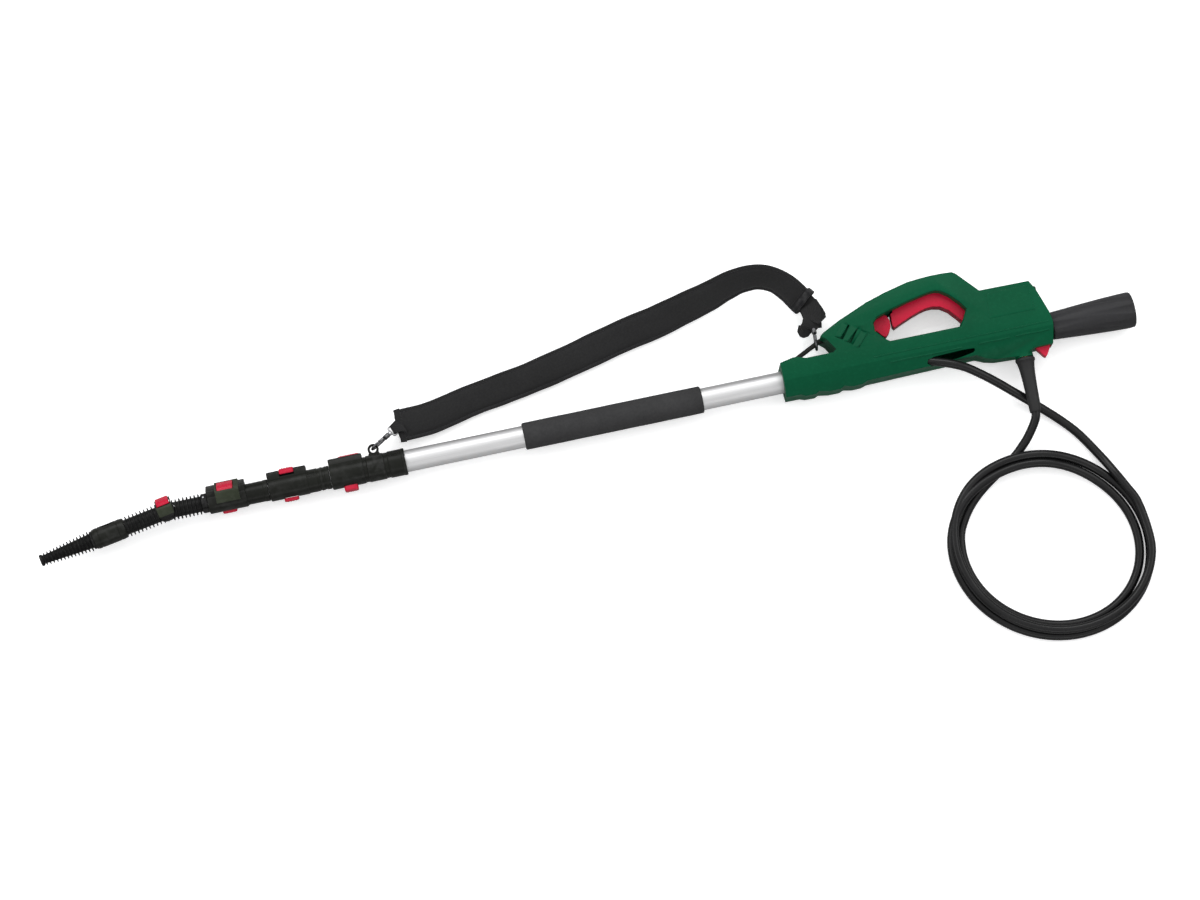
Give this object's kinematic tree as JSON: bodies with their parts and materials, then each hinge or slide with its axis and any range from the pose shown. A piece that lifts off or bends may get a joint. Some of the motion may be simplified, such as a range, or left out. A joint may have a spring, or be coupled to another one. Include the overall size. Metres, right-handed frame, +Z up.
{
  "type": "telescopic pressure washer lance",
  "caption": "Telescopic spray lance with a trigger-grip housing, nested pole, bending ribbed nozzle, padded shoulder strap and a feed hose lying in a loose coil.",
  "frame": {"origin": "on the housing's flat right side face, straight under the pole axis, where the housing rests", "axes": "+X back along the pole to the rear coupling, +Y toward the top of the hand grip, +Z up from the surface the lance lies on"},
  "size_m": [1.5122, 0.5916, 0.054],
  "materials": {
    "housing": "moulded green, satin",
    "red": "moulded crimson, satin gloss",
    "pole": "satin drawn tube",
    "black_plastic": "fine moulded grain",
    "cone": "matt, worn ridges",
    "foam": "closed-cell foam",
    "cloth": "woven polyester",
    "hose": "smooth, semi-gloss",
    "steel": "dark plated",
    "brass": "machined"
  },
  "bodies": {
    "root": {"housing_left": "housing", "housing_right": "housing", "housing_screw_1": "steel", "housing_screw_2": "steel", "housing_screw_3": "steel", "housing_screw_4": "steel", "housing_screw_5": "steel", "strap_eye_bar": "black_plastic", "trigger_pin": "steel", "trigger_lock_pin": "steel", "rear_lever_pin": "steel", "rear_peg": "black_plastic", "valve_body": "brass", "valve_spring": "steel", "outlet_elbow": "brass", "inlet_nipple": "brass", "inlet_seal": "hose", "outer_tube": "pole", "foam_grip": "foam", "collar_1": "black_plastic", "strap_pad": "cloth", "strap_end_webbing": "cloth", "strap_keeper": "black_plastic", "front_hook_body": "steel", "front_hook_swivel": "steel", "rear_hook_body": "steel", "rear_hook_swivel": "steel", "hose_boot": "hose", "hose_lead_out": "hose", "hose_lead_in": "hose", "hose_coil": "hose"},
    "trigger": {"trigger": "red"},
    "trigger_lock": {"trigger_lock": "red"},
    "rear_lever": {"rear_lever": "red"},
    "valve_plunger": {"valve_plunger": "steel"},
    "coupling_nut": {"coupling_nut": "cone"},
    "collar_1_button_top": {"collar_1_button_top": "red"},
    "collar_1_button_bottom": {"collar_1_button_bottom": "red"},
    "stage_1": {"stage_1_tube": "pole", "collar_2": "black_plastic"},
    "collar_2_button_top": {"collar_2_button_top": "red"},
    "collar_2_button_bottom": {"collar_2_button_bottom": "red"},
    "stage_2": {"stage_2_tube": "pole", "collar_3": "black_plastic"},
    "collar_3_button_top": {"collar_3_button_top": "red"},
    "collar_3_button_bottom": {"collar_3_button_bottom": "red"},
    "stage_3": {"stage_3_tube": "pole", "ribbed_sleeve_rear": "black_plastic", "inner_hose": "hose"},
    "elbow": {"elbow_sleeve": "black_plastic", "nozzle_coupling": "black_plastic"},
    "elbow_button": {"elbow_button": "red"},
    "nozzle_tip": {"nozzle_tip": "black_plastic", "jet_insert": "brass"},
    "front_hook_gate": {"front_hook_gate": "steel"},
    "rear_hook_gate": {"rear_hook_gate": "steel"}
  },
  "joints": [
    {"name": "stage_1_extend", "type": "slide", "parent": "root", "child": "stage_1", "axis": [-1, 0, 0], "range_m": [0, 0.58]},
    {"name": "stage_2_extend", "type": "slide", "parent": "stage_1", "child": "stage_2", "axis": [-1, 0, 0], "range_m": [0, 0.58]},
    {"name": "stage_3_extend", "type": "slide", "parent": "stage_2", "child": "stage_3", "axis": [-1, 0, 0], "range_m": [0, 0.58]},
    {"name": "elbow_bend", "type": "hinge", "parent": "stage_3", "child": "elbow", "pos_m": [-1.033, 0, 0.027], "axis": [0, 0, 1], "range_deg": [-10, 35]},
    {"name": "nozzle_turn", "type": "hinge", "parent": "elbow", "child": "nozzle_tip", "pos_m": [-1.033, 0, 0.027], "axis": [0.9848, 0.1736, 0], "range_deg": [0, 90]},
    {"name": "coupling_turn", "type": "hinge", "parent": "root", "child": "coupling_nut", "pos_m": [0.24, 0, 0.027], "axis": [1, 0, 0], "continuous": true},
    {"name": "trigger_pull", "type": "hinge", "parent": "root", "child": "trigger", "pos_m": [0.082, 0.037, 0.027], "axis": [0, 0, -1], "range_deg": [0, 5], "stiffness_Nm_per_rad": 2, "springref_deg": -11.46},
    {"name": "valve_plunger_travel", "type": "slide", "parent": "root", "child": "valve_plunger", "axis": [0, -1, 0], "range_m": [0, 0.002], "deforming": ["valve_spring"]},
    {"name": "trigger_lock_tilt", "type": "hinge", "parent": "root", "child": "trigger_lock", "pos_m": [-0.056, 0.047, 0.027], "axis": [0, 0, -1], "range_deg": [0, 8], "stiffness_Nm_per_rad": 0.4, "springref_deg": -11.46},
    {"name": "rear_lever_tilt", "type": "hinge", "parent": "root", "child": "rear_lever", "pos_m": [0.176, -0.0175, 0.027], "axis": [0, 0, 1], "range_deg": [0, 16], "stiffness_Nm_per_rad": 0.2, "springref_deg": -11.46},
    {"name": "collar_1_top_press", "type": "slide", "parent": "root", "child": "collar_1_button_top", "axis": [0, -1, 0], "range_m": [0, 0.0022], "stiffness_N_per_m": 350, "springref_m": -0.004},
    {"name": "collar_1_bottom_press", "type": "slide", "parent": "root", "child": "collar_1_button_bottom", "axis": [0, 1, 0], "range_m": [0, 0.0015], "stiffness_N_per_m": 350, "springref_m": -0.004},
    {"name": "collar_2_top_press", "type": "slide", "parent": "stage_1", "child": "collar_2_button_top", "axis": [0, -0.9848, -0.1736], "range_m": [0, 0.0022], "stiffness_N_per_m": 350, "springref_m": -0.004},
    {"name": "collar_2_bottom_press", "type": "slide", "parent": "stage_1", "child": "collar_2_button_bottom", "axis": [0, 0.9848, 0.1736], "range_m": [0, 0.0015], "stiffness_N_per_m": 350, "springref_m": -0.004},
    {"name": "collar_3_top_press", "type": "slide", "parent": "stage_2", "child": "collar_3_button_top", "axis": [0, -0.8192, -0.5736], "range_m": [0, 0.0022], "stiffness_N_per_m": 350, "springref_m": -0.004},
    {"name": "collar_3_bottom_press", "type": "slide", "parent": "stage_2", "child": "collar_3_button_bottom", "axis": [0, 0.8192, 0.5736], "range_m": [0, 0.0015], "stiffness_N_per_m": 350, "springref_m": -0.004},
    {"name": "elbow_button_press", "type": "slide", "parent": "elbow", "child": "elbow_button", "axis": [0.133, -0.7544, -0.6428], "range_m": [0, 0.0018], "stiffness_N_per_m": 350, "springref_m": -0.004},
    {"name": "front_gate_open", "type": "hinge", "parent": "root", "child": "front_hook_gate", "pos_m": [-0.7288, 0.03684, 0.03055], "axis": [0.5373, -0.8434, 0], "range_deg": [0, 14], "stiffness_Nm_per_rad": 0.02, "springref_deg": -17.19},
    {"name": "rear_gate_open", "type": "hinge", "parent": "root", "child": "rear_hook_gate", "pos_m": [-0.12808, 0.05414, 0.0336], "axis": [0.9968, -0.0802, 0], "range_deg": [0, 14], "stiffness_Nm_per_rad": 0.02, "springref_deg": -17.19}
  ],
  "couplings": [
    {"joint": "valve_plunger_travel", "follows": "trigger_pull", "m_per_rad": 0.018}
  ]
}
